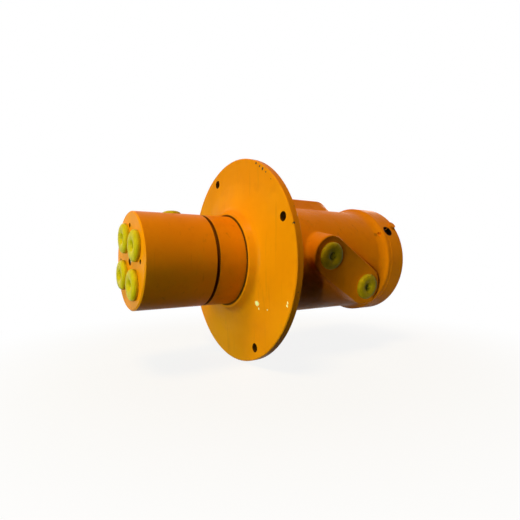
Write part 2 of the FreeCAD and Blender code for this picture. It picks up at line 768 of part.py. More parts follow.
def cover_groove():
    """Ring groove in the spigot: its start, its end and its floor."""
    middle = f"({BARREL_END} - spigot_length / 2)"
    start = f"({middle} - cover_ring_width / 2)"
    end = f"({middle} + cover_ring_width / 2)"
    return start, end, f"({RECESS} - cover_ring_width)"


def make_end_cover():
    """Cap on the end flange: spigot with its ring groove, hollow for the screw heads."""
    body = new_body("end_cover")
    tip = f"({BARREL_END} - spigot_length)"
    hollow = f"({RECESS} - spigot_wall)"
    dish = f"({COVER_SCREW_CIRCLE} - cover_dish_margin_width)"
    groove_start, groove_end, groove_floor = cover_groove()
    turn(body, "cap", [
        (tip, hollow),
        (tip, SPIGOT),
        (groove_start, SPIGOT),
        (groove_start, groove_floor),
        (groove_end, groove_floor),
        (groove_end, SPIGOT),
        (BARREL_END, SPIGOT),
        (BARREL_END, f"{END_FLANGE} - edge_chamfer_width"),
        (f"{BARREL_END} + edge_chamfer_width", END_FLANGE),
        (f"{COVER_BACK} - cover_chamfer_width", END_FLANGE),
        (COVER_BACK, f"{END_FLANGE} - cover_chamfer_width"),
        (COVER_BACK, dish),
        (f"{COVER_BACK} - cover_dish_depth", f"{dish} - cover_dish_depth"),
        (f"{COVER_BACK} - cover_dish_depth", "0"),
        (f"{COVER_BACK} - cover_end_wall", "0"),
        (f"{COVER_BACK} - cover_end_wall", hollow),
    ])
    lug = tangent_sketch(body, "lug_outline", "cover_lug_angle", COVER_SCREW_CIRCLE)
    draw_circle(lug, f"{COVER_BACK} - cover_lug_margin_width", "0", "cover_lug_radius")
    raise_pad(body, "lug", lug, f"{END_FLANGE} - {COVER_SCREW_CIRCLE} + cover_lug_height")
    screw_place = polar(COVER_SCREW_CIRCLE, "cover_screw_angle")
    back = cross_sketch(body, "screw_hole_place", COVER_BACK)
    draw_circle(back, *screw_place, "screw_radius + screw_hole_clearance")
    hole = sink(body, "screw_hole", back, "cover_thickness")
    around_axis(body, "screw_holes", hole, COVER_SCREWS)
    wide = cross_sketch(body, "counterbore_place", COVER_BACK)
    draw_circle(wide, *screw_place, "screw_head_radius + counterbore_clearance")
    bore = sink(body, "counterbore", wide, f"{COVER_BACK} - {SCREW_SEAT}")
    around_axis(body, "counterbores", bore, COVER_SCREWS)
    cut_pry_notch(body)
    return body


def cut_pry_notch(body):
    """Notch across the cover's joint edge, half-way between two screws, for a lever."""
    angle = f"(cover_screw_angle + 180 / {COVER_SCREWS})"
    side = tangent_sketch(body, "pry_notch_outline", angle, f"({END_FLANGE} - pry_notch_depth)")
    near = BARREL_END
    far = f"{BARREL_END} + pry_notch_length"
    half = "pry_notch_width / 2"
    draw_outline(side, [(near, f"-{half}"), (near, half), (far, half), (far, f"-{half}")])
    sink(body, "pry_notch", side, "2 * pry_notch_depth", along_normal=True)


def make_cover_ring():
    """O-ring in the spigot's groove, squeezed flat on its sides."""
    body = new_body("cover_o_ring")
    groove_start, groove_end, groove_floor = cover_groove()
    start = f"({groove_start} + fit_clearance)"
    end = f"({groove_end} - fit_clearance)"
    inner = f"({groove_floor} + fit_clearance)"
    outer = f"({RECESS} - fit_clearance)"
    corner = "cover_ring_width / 4"
    turn(body, "section", [
        (start, f"{inner} + {corner}"),
        (start, f"{outer} - {corner}"),
        (f"{start} + {corner}", outer),
        (f"{end} - {corner}", outer),
        (end, f"{outer} - {corner}"),
        (end, f"{inner} + {corner}"),
        (f"{end} - {corner}", inner),
        (f"{start} + {corner}", inner),
    ])
    return body


def place_on_circle(body, station, radius, angle):
    """Moves a piece that was turned about X out to a bolt circle."""
    across, up = polar(radius, angle)
    place = f"placement(vector({station}; {across}; {up}); rotation(vector(1; 0; 0); {angle}))"
    body.setExpression("Placement", bound(place))


def cut_socket(body, station):
    """Hexagon socket in a face on the body's own axis."""
    sketch = cross_sketch(body, "socket_outline", station)
    corner = "(socket_width / sqrt(3))"
    corners = [(f"{corner} * cos({60 * step})", f"{corner} * sin({60 * step})") for step in range(6)]
    corners[0] = (corner, "0")
    corners[3] = (f"-{corner}", "0")
    draw_outline(sketch, corners)
    sink(body, "socket", sketch, "socket_depth")


def socket_screw(label, shank):
    """Screw turned about X, its shank towards -X from the seat of its head at 0."""
    body = new_body(label)
    turn(body, "blank", [
        (f"-({shank})", "0"),
        (f"-({shank})", "screw_radius - edge_chamfer_width"),
        (f"-({shank}) + edge_chamfer_width", "screw_radius"),
        ("0", "screw_radius"),
        ("0", "screw_head_radius"),
        ("screw_head_height - edge_chamfer_width", "screw_head_radius"),
        ("screw_head_height", "screw_head_radius - edge_chamfer_width"),
        ("screw_head_height", "0"),
    ])
    cut_socket(body, "screw_head_height")
    return body


def make_cover_screws():
    """Socket screws in the cover's counterbores, each on a split spring washer."""
    head_seat = f"({SCREW_SEAT} + spring_washer_thickness)"
    shank = f"{head_seat} - {BARREL_END} + cover_thread_length"
    pieces = []
    for index in range(COVER_SCREWS):
        angle = f"(cover_screw_angle + {index} * 360 / {COVER_SCREWS})"
        washer = ring(f"cover_washer_{index + 1}", "0", "spring_washer_thickness",
                      "screw_radius + fit_clearance", "screw_head_radius", angle=350)
        place_on_circle(washer, SCREW_SEAT, COVER_SCREW_CIRCLE, angle)
        screw = socket_screw(f"cover_screw_{index + 1}", shank)
        place_on_circle(screw, head_seat, COVER_SCREW_CIRCLE, angle)
        pieces += [washer, screw]
    return pieces


def make_plate_screws():
    pieces = []
    for index in range(PLATE_SCREWS):
        angle = f"(plate_screw_angle + {index} * 360 / {PLATE_SCREWS})"
        screw = socket_screw(f"plate_screw_{index + 1}", "plate_thickness + plate_thread_length")
        place_on_circle(screw, PLATE_BACK, PLATE_SCREW_CIRCLE, angle)
        pieces.append(screw)
    return pieces


def make_dowel():
    body = new_body("plate_dowel")
    turn(body, "pin", [
        ("-dowel_length", "0"),
        ("-dowel_length", "dowel_radius"),
        ("0", "dowel_radius"),
        ("0", "0"),
    ])
    place_on_circle(body, PLATE_BACK, PLATE_SCREW_CIRCLE, "dowel_angle")
    return body


def make_stopper():
    """Screw plug with a hexagon socket that closes the drain bore behind the thrust plate."""
    body = new_body("drain_stopper")
    turn(body, "blank", [
        (f"{CORE_END} - stopper_length", "0"),
        (f"{CORE_END} - stopper_length", "stopper_radius"),
        (CORE_END, "stopper_radius"),
        (CORE_END, "0"),
    ])
    cut_socket(body, CORE_END)
    return body


def transport_plug(label, cap, bore):
    """Push-in plug turned about X: a crowned cap with a funnel, over a hollow stem towards -X."""
    body = new_body(label)
    stem = f"({bore} - plug_clearance)"
    crown = "plug_cap_height"
    mouth = f"({cap} - plug_edge_width - plug_crown_width)"
    floor = f"({crown} - plug_funnel_depth)"
    turn(body, "shell", [
        ("-plug_stem_length", f"{stem} - plug_wall"),
        ("-plug_stem_length", f"{stem} - plug_lead_width / 2"),
        ("-plug_stem_length + plug_lead_width", stem),
        ("0", stem),
        ("0", cap),
        (f"{crown} - plug_edge_width", cap),
        (crown, f"{cap} - plug_edge_width"),
        (crown, mouth),
        (floor, f"{mouth} - plug_funnel_taper_width"),
        (floor, "0"),
        (f"{floor} - plug_wall", "0"),
        (f"{floor} - plug_wall", f"{stem} - plug_wall"),
    ])
    return body


def make_housing_plugs():
    pieces = []
    ports = [(f"housing_plug_{index + 1}", port, "plug_cap_radius", "port_radius")
             for index, port in enumerate(housing_ports())]
    drain = ("drain_boss_angle", DRAIN_BOSS_HEIGHT, (circuit(2), "0"))
    ports.append(("housing_drain_plug", drain, "small_plug_cap_radius", "drain_port_radius"))
    for label, (angle, height, (station, slant)), cap, bore in ports:
        plug = transport_plug(label, cap, bore)
        point_outward(plug, station, angle, height, slant)
        pieces.append(plug)
    return pieces


def point_outward(body, station, angle, height, slant):
    """Turns a piece from +X to the outward direction at the angle and seats it at the height."""
    across = f"(-{height} * cos({angle}) + {slant} * sin({angle}))"
    up = f"({height} * sin({angle}) + {slant} * cos({angle}))"
    axis = f"vector(0; -sin({angle}); -cos({angle}))"
    place = f"placement(vector({station}; {across}; {up}); rotation({axis}; 90))"
    body.setExpression("Placement", bound(place))


def make_core_plugs():
    pieces = []
    for index in range(CORE_PORTS):
        plug = transport_plug(f"core_plug_{index + 1}", "plug_cap_radius", "port_radius")
        across, up = core_port_place(index)
        place = f"placement(vector({HOSE_FACE}; {across}; {up}); rotation(vector(0; 0; 1); 180))"
        plug.setExpression("Placement", bound(place))
        pieces.append(plug)
    drain = transport_plug("core_drain_plug", "small_plug_cap_radius", "drain_port_radius")
    point_outward(drain, CORE_DRAIN, "core_drain_angle", SPOTFACE_HEIGHT, "0")
    pieces.append(drain)
    return pieces


def make_all():
    pieces = [make_housing()]
    pieces += make_bushes()
    pieces += make_seals()
    pieces.append(make_dust_seal())
    pieces += make_thrust_washers()
    pieces.append(make_core())
    pieces.append(make_thrust_plate())
    pieces.append(make_dowel())
    pieces.append(make_stopper())
    pieces += make_plate_screws()
    pieces.append(make_end_cover())
    pieces.append(make_cover_ring())
    pieces += make_cover_screws()
    pieces += make_housing_plugs()
    pieces += make_core_plugs()
    return pieces


def check(pieces):
    """Stops before anything is written if an object failed."""
    for item in document.Objects:
        if "Invalid" in item.State or "Error" in item.State:
            raise RuntimeError(f"{item.Label} failed: {item.State}")
    for body in pieces:
        if body.Shape.isNull() or not body.Shape.isValid() or len(body.Shape.Solids) != 1:
            raise RuntimeError(f"{body.Label} is not one valid solid")


bodies = make_all()
document.recompute()
check(bodies)
os.makedirs("parts", exist_ok=True)
for body in bodies:
    body.Shape.exportStep(f"parts/{body.Label}.step")
    box = body.Shape.BoundBox
    print(f"{body.Label}: {body.Shape.Volume / 1000:.2f} cm3,",
          f"x {box.XMin:.1f} to {box.XMax:.1f}, {len(body.Shape.Faces)} faces")
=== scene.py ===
# %% [markdown]
# # A painted hydraulic rotary union
#
# The object is the centre joint of a small excavator: a flanged cast housing, a steel core that
# turns in it, and yellow plastic plugs that keep dirt out of the oil ports. The exact shapes come
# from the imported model. This lesson adds what a drawing leaves out: a sprayed enamel coat with its
# chips and dust, moulded plugs, socket screws under the same paint, and threads in the open holes.

import json
import math

import bmesh
import bpy
from mathutils import Matrix, Vector


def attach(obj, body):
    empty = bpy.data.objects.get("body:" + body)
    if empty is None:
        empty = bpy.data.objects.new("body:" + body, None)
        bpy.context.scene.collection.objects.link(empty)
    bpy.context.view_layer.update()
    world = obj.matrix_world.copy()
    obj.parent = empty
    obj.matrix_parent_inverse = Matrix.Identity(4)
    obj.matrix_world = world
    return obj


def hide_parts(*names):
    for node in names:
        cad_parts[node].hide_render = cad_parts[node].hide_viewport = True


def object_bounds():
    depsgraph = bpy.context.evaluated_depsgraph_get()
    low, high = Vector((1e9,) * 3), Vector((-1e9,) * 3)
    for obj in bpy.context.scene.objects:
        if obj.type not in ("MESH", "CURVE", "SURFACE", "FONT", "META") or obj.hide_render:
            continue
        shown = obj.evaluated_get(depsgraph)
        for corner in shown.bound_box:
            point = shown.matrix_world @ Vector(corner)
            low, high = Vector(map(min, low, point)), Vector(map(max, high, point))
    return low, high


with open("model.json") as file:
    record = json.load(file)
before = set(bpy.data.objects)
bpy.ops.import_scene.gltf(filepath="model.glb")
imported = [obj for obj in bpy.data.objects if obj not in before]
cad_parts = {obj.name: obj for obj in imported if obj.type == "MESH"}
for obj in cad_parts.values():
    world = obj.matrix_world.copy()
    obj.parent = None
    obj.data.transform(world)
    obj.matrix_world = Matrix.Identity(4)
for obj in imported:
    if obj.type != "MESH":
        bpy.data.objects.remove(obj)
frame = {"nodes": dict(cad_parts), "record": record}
nodes = frame["nodes"]
cad_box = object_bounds()
print("nodes:", len(nodes), "box:", [round(value, 4) for corner in cad_box for value in corner])

# %% [markdown]
# ## Names for places
#
# The model's X axis is the axis of rotation. Every hole and plug stands at an angle around it, so
# one small function that turns a radius and an angle into a point saves many sums later. Angles
# start at the side that faces the camera (-Y) and rise towards the top (+Z).

# %% Places around the axis
MM = 0.001


def around(radius, angle):
    """Direction or place across the axis, for a radius and an angle in degrees."""
    turn = math.radians(angle)
    return Vector((0, -radius * math.cos(turn), radius * math.sin(turn)))


def towards(direction):
    """Rotation that turns a piece modelled along +X to the direction."""
    return direction.to_track_quat("X", "Z").to_matrix().to_4x4()


print("up is", [round(value, 3) for value in around(1, 90)], "for an angle of 90")

# %% [markdown]
# ## Building node materials
#
# Each finish below is a small network of nodes. The same few steps return in all of them: put a
# noise on the surface, pick a range of it, mix two colours. Short helpers for those steps keep each
# finish readable. All patterns sit on Object coordinates, so they stay with the metal when the core
# turns.

# %% Helpers for finishes
class Finish:
    """A material under construction: its tree, its surface shader and its coordinates."""

    def __init__(self, name):
        self.material = bpy.data.materials.new(name)
        self.material.use_nodes = True
        self.tree = self.material.node_tree
        self.surface = self.tree.nodes["Principled BSDF"]
        self.place = self.add("ShaderNodeTexCoord").outputs["Object"]

    def add(self, kind, inputs=(), **settings):
        node = self.tree.nodes.new(kind)
        for name, value in settings.items():
            setattr(node, name, value)
        for socket, value in dict(inputs).items():
            self.feed(node.inputs[socket], value)
        return node

    def feed(self, socket, value):
        """Links a socket to another one, or writes a plain value into it."""
        if isinstance(value, bpy.types.NodeSocket):
            self.tree.links.new(value, socket)
        else:
            socket.default_value = value

    def noise(self, scale, detail=4.0, roughness=0.55, place=None):
        settings = {"Vector": place or self.place, "Scale": scale,
                    "Detail": detail, "Roughness": roughness}
        return self.add("ShaderNodeTexNoise", settings).outputs["Fac"]

    def span(self, value, low, high, bottom=0.0, top=1.0):
        """Moves the range low..high of a value to bottom..top, with soft ends."""
        settings = {"Value": value, "From Min": low, "From Max": high,
                    "To Min": bottom, "To Max": top}
        node = self.add("ShaderNodeMapRange", settings, interpolation_type="SMOOTHSTEP")
        return node.outputs["Result"]

    def fade(self, value, low, high):
        """Falls from 1 to 0 over the range low..high of a value."""
        return self.span(value, low, high, 1.0, 0.0)

    def calc(self, operation, first, second):
        node = self.add("ShaderNodeMath", {0: first, 1: second}, operation=operation)
        return node.outputs["Value"]

    def times(self, first, second):
        return self.calc("MULTIPLY", first, second)

    def most(self, first, second):
        """The larger of two values, which lays one mask over another."""
        return self.calc("MAXIMUM", first, second)

    def mix(self, share, first, second):
        """Colour between two colours. Sockets 6 and 7 are the node's colour inputs."""
        node = self.add("ShaderNodeMix", {0: share, 6: first, 7: second}, data_type="RGBA")
        return node.outputs[2]

    def scaled(self, factors):
        """The coordinates times three factors. A factor of 0 leaves that axis out."""
        inputs = {0: self.place, 1: factors}
        node = self.add("ShaderNodeVectorMath", inputs, operation="MULTIPLY")
        return node.outputs["Vector"]

    def away(self, spot, place=None):
        """Distance from the spot, in space or in the plane that the place is flattened to."""
        inputs = {0: place or self.place, 1: spot}
        node = self.add("ShaderNodeVectorMath", inputs, operation="DISTANCE")
        return node.outputs["Value"]

    def bump(self, height, distance, strength, normal=None):
        settings = {"Height": height, "Distance": distance, "Strength": strength}
        if normal is not None:
            settings["Normal"] = normal
        return self.add("ShaderNodeBump", settings).outputs["Normal"]

    def set(self, **sockets):
        for name, value in sockets.items():
            self.feed(self.surface.inputs[name.replace("_", " ")], value)
        return self.material


def colour(red, green, blue):
    return (red, green, blue, 1.0)


print("finish helpers ready")

# %% [markdown]
# ## Places that wear, and painted glints
#
# Wear belongs to places: chips sit on the flange's rim where the unit was set down, and paint is
# thin inside holes, whose dark colour also stands for their shade. Pale spots on the flange's front
# are painted highlights for its glints. Those places are written down once, from the sizes of the
# object, and the enamel measures its distance from them. Values times MM are in metres, and the
# others in millimetres and degrees. A chip or glint spot is an angle, a radius and a reach.

# %% Holes and chips
FLANGE_HOLES = [around(98.5 * MM, angle) for angle in (24, 114, 204, 294)]
FLANGE_HOLE_RADIUS = 4.5
LOCK_HOLES = [around(34 * MM, angle) for angle in (89, 179, 269, 359)]
LOCK_HOLE_RADIUS = 2.1
CENTRE_HOLE = Vector((0, 0, 0))
CENTRE_HOLE_RADIUS = 4.25
HOSE_HOLES_END = -90 * MM
PRY_NOTCH = around(66 * MM, 31) + Vector((179 * MM, 0, 0))
NOTCH_REACH = 6.5 * MM
DIMPLE = around(65 * MM, 28.5) + Vector((159.5 * MM, 0, 0))
DIMPLE_REACH = (2.4 * MM, 4.4 * MM)
LOCK_GROOVE = (-53.5 * MM, -49.5 * MM)
GROOVE_FLOOR = 44 * MM
BORE = (-21 * MM, 160 * MM)
BORE_RADIUS = 48 * MM
CASTING = (0.5 * MM, 168.5 * MM)
FLANGE_FRONT = Vector((-8 * MM, 0, 0))
FLANGE_RIM = (107.6 * MM, 109.6 * MM)
RIM_CHIPS = [(65.3, 107.9, 1.5), (61.2, 107.0, 1.3), (57.8, 106.6, 1.7),
             (54.0, 106.2, 1.1), (47.5, 105.4, 0.7)]
# Painted highlights: pale spots for the glints on the flange's front.
PAINTED_GLINT_SPOTS = [(318.1, 65.1, 3.2), (316.0, 70.0, 1.2), (336.4, 103.8, 1.5),
          (337.9, 103.4, 1.4), (322.7, 80.2, 1.0)]
print("holes:", len(FLANGE_HOLES) + len(LOCK_HOLES) + 1)
# The second count is of the pale spots that are painted highlights.
print("chips:", len(RIM_CHIPS), "painted glints:", len(PAINTED_GLINT_SPOTS))

# %% [markdown]
# ## The enamel
#
# The whole unit was sprayed after it was put together. Thick machine enamel has three looks at
# once: a smooth gloss coat, the orange-peel ripple of spray, and below it the sand grain of the
# casting, which shows on the barrel and not on the turned flange and core. Masks made from the
# distance along and across the axis say where each belongs. Paint that didn't reach a place, such
# as the lock groove, the bore behind the hub or a hole, is thin there, and its dark colour is also
# painted shade for these hollows. The pry notch is painted near black as shade, and pale spots on
# the flange's front are painted highlights. The gloss coat is weak and the specular level low,
# because a white studio would otherwise bleach a strong colour.

# %% Enamel
def coat_of_paint(finish, broad):
    """Colour of sound paint: drifts in the spray and faint upright wipe marks."""
    cloudy = finish.noise(55.0, detail=5.0)
    drift = finish.span(broad, 0.32, 0.68)
    paint = finish.mix(drift, colour(0.80, 0.250, 0.002), colour(0.88, 0.300, 0.003))
    thick = finish.span(cloudy, 0.5, 0.8, 0.0, 0.4)
    paint = finish.mix(thick, paint, colour(0.68, 0.185, 0.002))
    wiped = finish.noise(1.0, detail=4.0, place=finish.scaled((260, 260, 16)))
    streaks = finish.span(wiped, 0.58, 0.80, 0.0, 0.35)
    return finish.mix(streaks, paint, colour(0.42, 0.14, 0.006))


def ragged_spot(finish, apart, fine, wobble, core, reach):
    """Share that is 1 in a spot's core and 0 past its reach, with an uneven outline."""
    uneven = finish.span(fine, 0.2, 0.8, -wobble * MM, wobble * MM)
    return finish.fade(finish.calc("ADD", apart, uneven), reach * core * MM, reach * MM)


def bare_spots(finish, across, fine):
    """Share of bare metal: nicks on the flange's rim, small scars and the chips by place."""
    rim = finish.span(across, *FLANGE_RIM)
    nicks = finish.times(rim, finish.span(finish.noise(230.0, detail=6.0), 0.66, 0.70))
    scars = finish.span(finish.noise(75.0, detail=9.0, roughness=0.7), 0.735, 0.75)
    bare = finish.most(nicks, scars)
    for angle, radius, reach in RIM_CHIPS:
        apart = finish.away(around(radius * MM, angle) + FLANGE_FRONT)
        bare = finish.most(bare, ragged_spot(finish, apart, fine, 0.5, 0.8, reach))
    return bare


def painted_glints(finish, along, flat, fine):
    """Share of painted highlight: pale spots that stand for glints on the front of the flange."""
    glint_share = 0.0
    for angle, radius, reach in PAINTED_GLINT_SPOTS:
        apart = finish.away(around(radius * MM, angle), flat)
        glint_share = finish.most(glint_share, ragged_spot(finish, apart, fine, 0.7, 0.6, reach))
    return finish.times(glint_share, finish.fade(along, -2 * MM, -1 * MM))


def in_holes(finish, along, flat):
    """Share of the drilled holes. Those of the hose face end inside the core's head."""
    on_core = finish.fade(along, HOSE_HOLES_END, HOSE_HOLES_END + 2 * MM)
    share = 0.0
    drilled = [([CENTRE_HOLE], CENTRE_HOLE_RADIUS, on_core),
               (LOCK_HOLES, LOCK_HOLE_RADIUS, on_core),
               (FLANGE_HOLES, FLANGE_HOLE_RADIUS, 1.0)]
    for holes, radius, reached in drilled:
        for hole in holes:
            apart = finish.away(hole, flat)
            inside = finish.fade(apart, (radius + 0.05) * MM, (radius + 0.3) * MM)
            share = finish.most(share, finish.times(inside, reached))
    return share


def thin_paint_and_shade(finish, along, across, flat):
    """Share of dark thin paint, also painted shade: in the holes, the lock groove, the bore and the
    dimple.
    """
    start, end = LOCK_GROOVE
    groove = finish.fade(across, GROOVE_FLOOR + 2.2 * MM, GROOVE_FLOOR + 3.4 * MM)
    groove = finish.times(groove, finish.span(along, start - 0.2 * MM, start))
    groove = finish.times(groove, finish.fade(along, end, end + 0.2 * MM))
    groove = finish.times(groove, 0.88)
    start, end = BORE
    bore = finish.fade(across, BORE_RADIUS + 0.8 * MM, BORE_RADIUS + 1.6 * MM)
    bore = finish.times(bore, finish.span(along, start, start + 0.2 * MM))
    bore = finish.times(bore, finish.fade(along, end, end + 1 * MM))
    dimple = finish.span(finish.away(DIMPLE), *DIMPLE_REACH, 0.45, 0.0)
    thin_and_shade = in_holes(finish, along, flat)
    for share in (dimple, groove, bore):
        thin_and_shade = finish.most(thin_and_shade, share)
    return thin_and_shade


def sprayed_enamel():
    finish = Finish("orange_enamel")
    along = finish.add("ShaderNodeSeparateXYZ", {"Vector": finish.place}).outputs["X"]
    flat = finish.scaled((0, 1, 1))
    across = finish.add("ShaderNodeVectorMath", {0: flat}, operation="LENGTH").outputs["Value"]
    start, end = CASTING
    behind_flange = finish.span(along, start, start + 1.5 * MM)
    cast = finish.times(behind_flange, finish.fade(along, end, end + 1 * MM))

    broad = finish.noise(14.0, detail=3.0)
    fine = finish.noise(900.0, detail=3.0)
    dusty = finish.span(finish.noise(120.0, detail=8.0), 0.56, 0.8)
    dust = finish.times(dusty, finish.span(broad, 0.4, 0.6))
    bare = bare_spots(finish, across, fine)
    # Painted shade: the inside of the pry notch is coloured near black.
    notch_shade = finish.fade(finish.away(PRY_NOTCH), NOTCH_REACH, NOTCH_REACH + 0.7 * MM)
    thin_and_shade = thin_paint_and_shade(finish, along, across, flat)
    # Painted highlight: the mask of the pale glint spots.
    glint_share = painted_glints(finish, along, flat, fine)
    iron = finish.mix(finish.noise(400.0), colour(0.05, 0.035, 0.022), colour(0.13, 0.085, 0.05))
    paint = coat_of_paint(finish, broad)
    paint = finish.mix(finish.times(dust, 0.25), paint, colour(0.55, 0.30, 0.03))
    # Thin paint and painted shade: holes, groove, bore and dimple go dark brown.
    paint = finish.mix(finish.times(thin_and_shade, 0.93), paint, colour(0.06, 0.024, 0.004))
    # Painted shade: near black in the pry notch.
    paint = finish.mix(notch_shade, paint, colour(0.004, 0.003, 0.002))
    # Painted highlight: pale glint spots on the flange's front.
    paint = finish.mix(glint_share, paint, colour(0.95, 0.90, 0.62))
    paint = finish.mix(bare, paint, iron)

    ripple = finish.noise(420.0, detail=1.0)
    sand = finish.times(cast, finish.noise(1300.0, detail=4.0, roughness=0.65))
    swell = finish.times(cast, finish.noise(90.0, detail=3.0))
    normal = finish.bump(swell, 1.2 * MM, 0.5)
    normal = finish.bump(sand, 0.25 * MM, 0.55, normal)
    normal = finish.bump(ripple, 0.25 * MM, 0.35, normal)
    normal = finish.bump(finish.calc("SUBTRACT", 1.0, bare), 0.3 * MM, 0.8, normal)

    # Bare metal, thin paint and the painted-shade hollows are duller and lose the gloss coat.
    worn_and_shaded = finish.most(bare, thin_and_shade)
    dull = finish.span(finish.noise(35.0, detail=6.0), 0.35, 0.75, 0.34, 0.50)
    dull = finish.calc("ADD", dull, finish.times(dust, 0.25))
    dull = finish.most(dull, finish.times(worn_and_shaded, 0.75))
    gloss = finish.span(worn_and_shaded, 0.0, 1.0, 0.02, 0.0)
    gloss = finish.times(gloss, finish.span(cast, 0.0, 1.0, 1.0, 0.2))
    return finish.set(
        Base_Color=paint, Roughness=dull, Normal=normal, Specular_IOR_Level=0.02,
        Coat_Weight=gloss, Coat_Roughness=0.10, Coat_Normal=normal)


enamel = sprayed_enamel()
print("enamel nodes:", len(enamel.node_tree.nodes))

# %% [markdown]
# ## Plastics, rubber, bronze and zinc
#
# The plugs are soft moulded polythene: a little light goes into it, so it gets some subsurface
# scattering. The inner pieces are seldom seen, but the part can be taken apart on screen, so they
# get true finishes too: turned bronze with fine rings, filled slipper rings, matt rubber and zinc
# plate with its cloudy blue and yellow.

# %% Plug plastic
def moulded_plastic():
    finish = Finish("plug_plastic")
    soil_and_shade = finish.add("ShaderNodeAttribute", attribute_name="soil_and_shade").outputs["Fac"]
    cloud = finish.span(finish.noise(160.0, detail=3.0), 0.3, 0.7)
    body = finish.mix(cloud, colour(0.53, 0.40, 0.003), colour(0.61, 0.47, 0.005))
    scuffs = finish.span(finish.noise(700.0, detail=6.0), 0.60, 0.72, 0.0, 0.35)
    body = finish.mix(scuffs, body, colour(0.48, 0.36, 0.01))
    patchy = finish.span(finish.noise(300.0, detail=5.0), 0.2, 0.7, 0.45, 1.0)
    # Dirt and painted shade: dark green-brown where the plug's attribute is high.
    body = finish.mix(finish.times(soil_and_shade, patchy), body, colour(0.030, 0.055, 0.004))
    normal = finish.bump(finish.noise(500.0, detail=3.0), 0.12 * MM, 0.5)
    normal = finish.bump(finish.noise(2600.0, detail=2.0), 0.03 * MM, 0.5, normal)
    dull = finish.span(finish.noise(240.0, detail=4.0), 0.3, 0.7, 0.32, 0.5)
    return finish.set(
        Base_Color=body, Roughness=dull, Normal=normal, Specular_IOR_Level=0.06,
        Subsurface_Weight=0.15, Subsurface_Radius=(1.0, 0.9, 0.1), Subsurface_Scale=1.2 * MM)


plastic = moulded_plastic()
print("plug plastic nodes:", len(plastic.node_tree.nodes))

# %% Inner finishes
ZINC_BLUE = colour(0.62, 0.63, 0.62)
ZINC_YELLOW = colour(0.50, 0.48, 0.38)


def turned_metal(name, light, dark, dull_low, dull_high, pitch):
    """Metal with the fine rings that a lathe leaves across its X axis."""
    finish = Finish(name)
    rings = finish.noise(1.0, detail=4.0, place=finish.scaled((pitch, 20, 20)))
    stain = finish.noise(60.0, detail=6.0)
    tone = finish.mix(finish.span(stain, 0.35, 0.7), light, dark)
    dull = finish.span(rings, 0.3, 0.7, dull_low, dull_high)
    normal = finish.bump(rings, 0.04 * MM, 0.5)
    return finish.set(Base_Color=tone, Metallic=1.0, Roughness=dull, Normal=normal)


def oversprayed_zinc():
    """Zinc plate that the spray gun has passed over: paint where the piece looks outward."""
    finish = Finish("oversprayed_zinc")
    film = finish.add("ShaderNodeAttribute", attribute_name="film").outputs["Fac"]
    film = finish.times(film, finish.span(finish.noise(260.0, detail=6.0), 0.28, 0.5))
    stain = finish.noise(60.0, detail=6.0)
    metal = finish.mix(finish.span(stain, 0.35, 0.7), ZINC_BLUE, ZINC_YELLOW)
    tone = finish.mix(film, metal, colour(0.80, 0.25, 0.003))
    edge = finish.bump(film, 0.15 * MM, 0.7)
    normal = finish.bump(finish.noise(900.0, detail=2.0), 0.05 * MM, 0.5, edge)
    dull = finish.span(stain, 0.3, 0.7, 0.30, 0.45)
    metallic = finish.calc("SUBTRACT", 1.0, film)
    return finish.set(Base_Color=tone, Metallic=metallic, Roughness=dull, Normal=normal)


def matt_rubber(name, light, dark, dull_low):
    finish = Finish(name)
    bloom = finish.noise(90.0, detail=6.0)
    tone = finish.mix(finish.span(bloom, 0.35, 0.7), dark, light)
    dull = finish.span(bloom, 0.3, 0.7, dull_low, dull_low + 0.15)
    normal = finish.bump(finish.noise(1500.0, detail=3.0), 0.05 * MM, 0.6)
    return finish.set(Base_Color=tone, Roughness=dull, Normal=normal)


bronze = turned_metal("turned_bronze", colour(0.72, 0.47, 0.20), colour(0.55, 0.33, 0.13),
                      0.24, 0.42, 4000)
zinc = turned_metal("zinc_plate", ZINC_BLUE, ZINC_YELLOW, 0.28, 0.45, 2500)
thread_steel = turned_metal("cut_thread", colour(0.30, 0.27, 0.23), colour(0.16, 0.12, 0.08),
                            0.35, 0.5, 900)
painted_zinc = oversprayed_zinc()
rubber = matt_rubber("seal_rubber", colour(0.035, 0.035, 0.035), colour(0.018, 0.018, 0.018), 0.6)
slipper = matt_rubber("slipper_ring", colour(0.16, 0.24, 0.20), colour(0.10, 0.17, 0.14), 0.35)
finishes = {"enamel": enamel, "bronze": bronze, "slipper": slipper, "seal_rubber": rubber,
            "plug_plastic": plastic, "zinc_steel": zinc}
print("finishes:", sorted(finishes))

# %% [markdown]
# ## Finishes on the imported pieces
#
# The record names a material slot for each node. Reading the slot from there, instead of listing
# the nodes again, keeps this lesson right when a piece is added.

# %% Finish every node
slots = {row["node"]: row["material_slot"] for row in frame["record"]["subparts"]}
for name, piece in nodes.items():
    if not piece.material_slots:
        piece.data.materials.append(None)
    for holder in piece.material_slots:
        holder.material = finishes[slots[name]]
print({slot: sum(1 for used in slots.values() if used == slot) for slot in finishes})

# %% [markdown]
# ## Lathe work
#
# Plugs and screws are round, so each starts as half of its section, drawn as a chain of points from
# one end to the other, and is spun about X. On a plug, a bevel on the sharp rings then gives every
# edge the small radius that catches light.

# %% Lathe
DOUBLES_WITHIN = 0.002 * MM
SHARP_ANGLE = 35


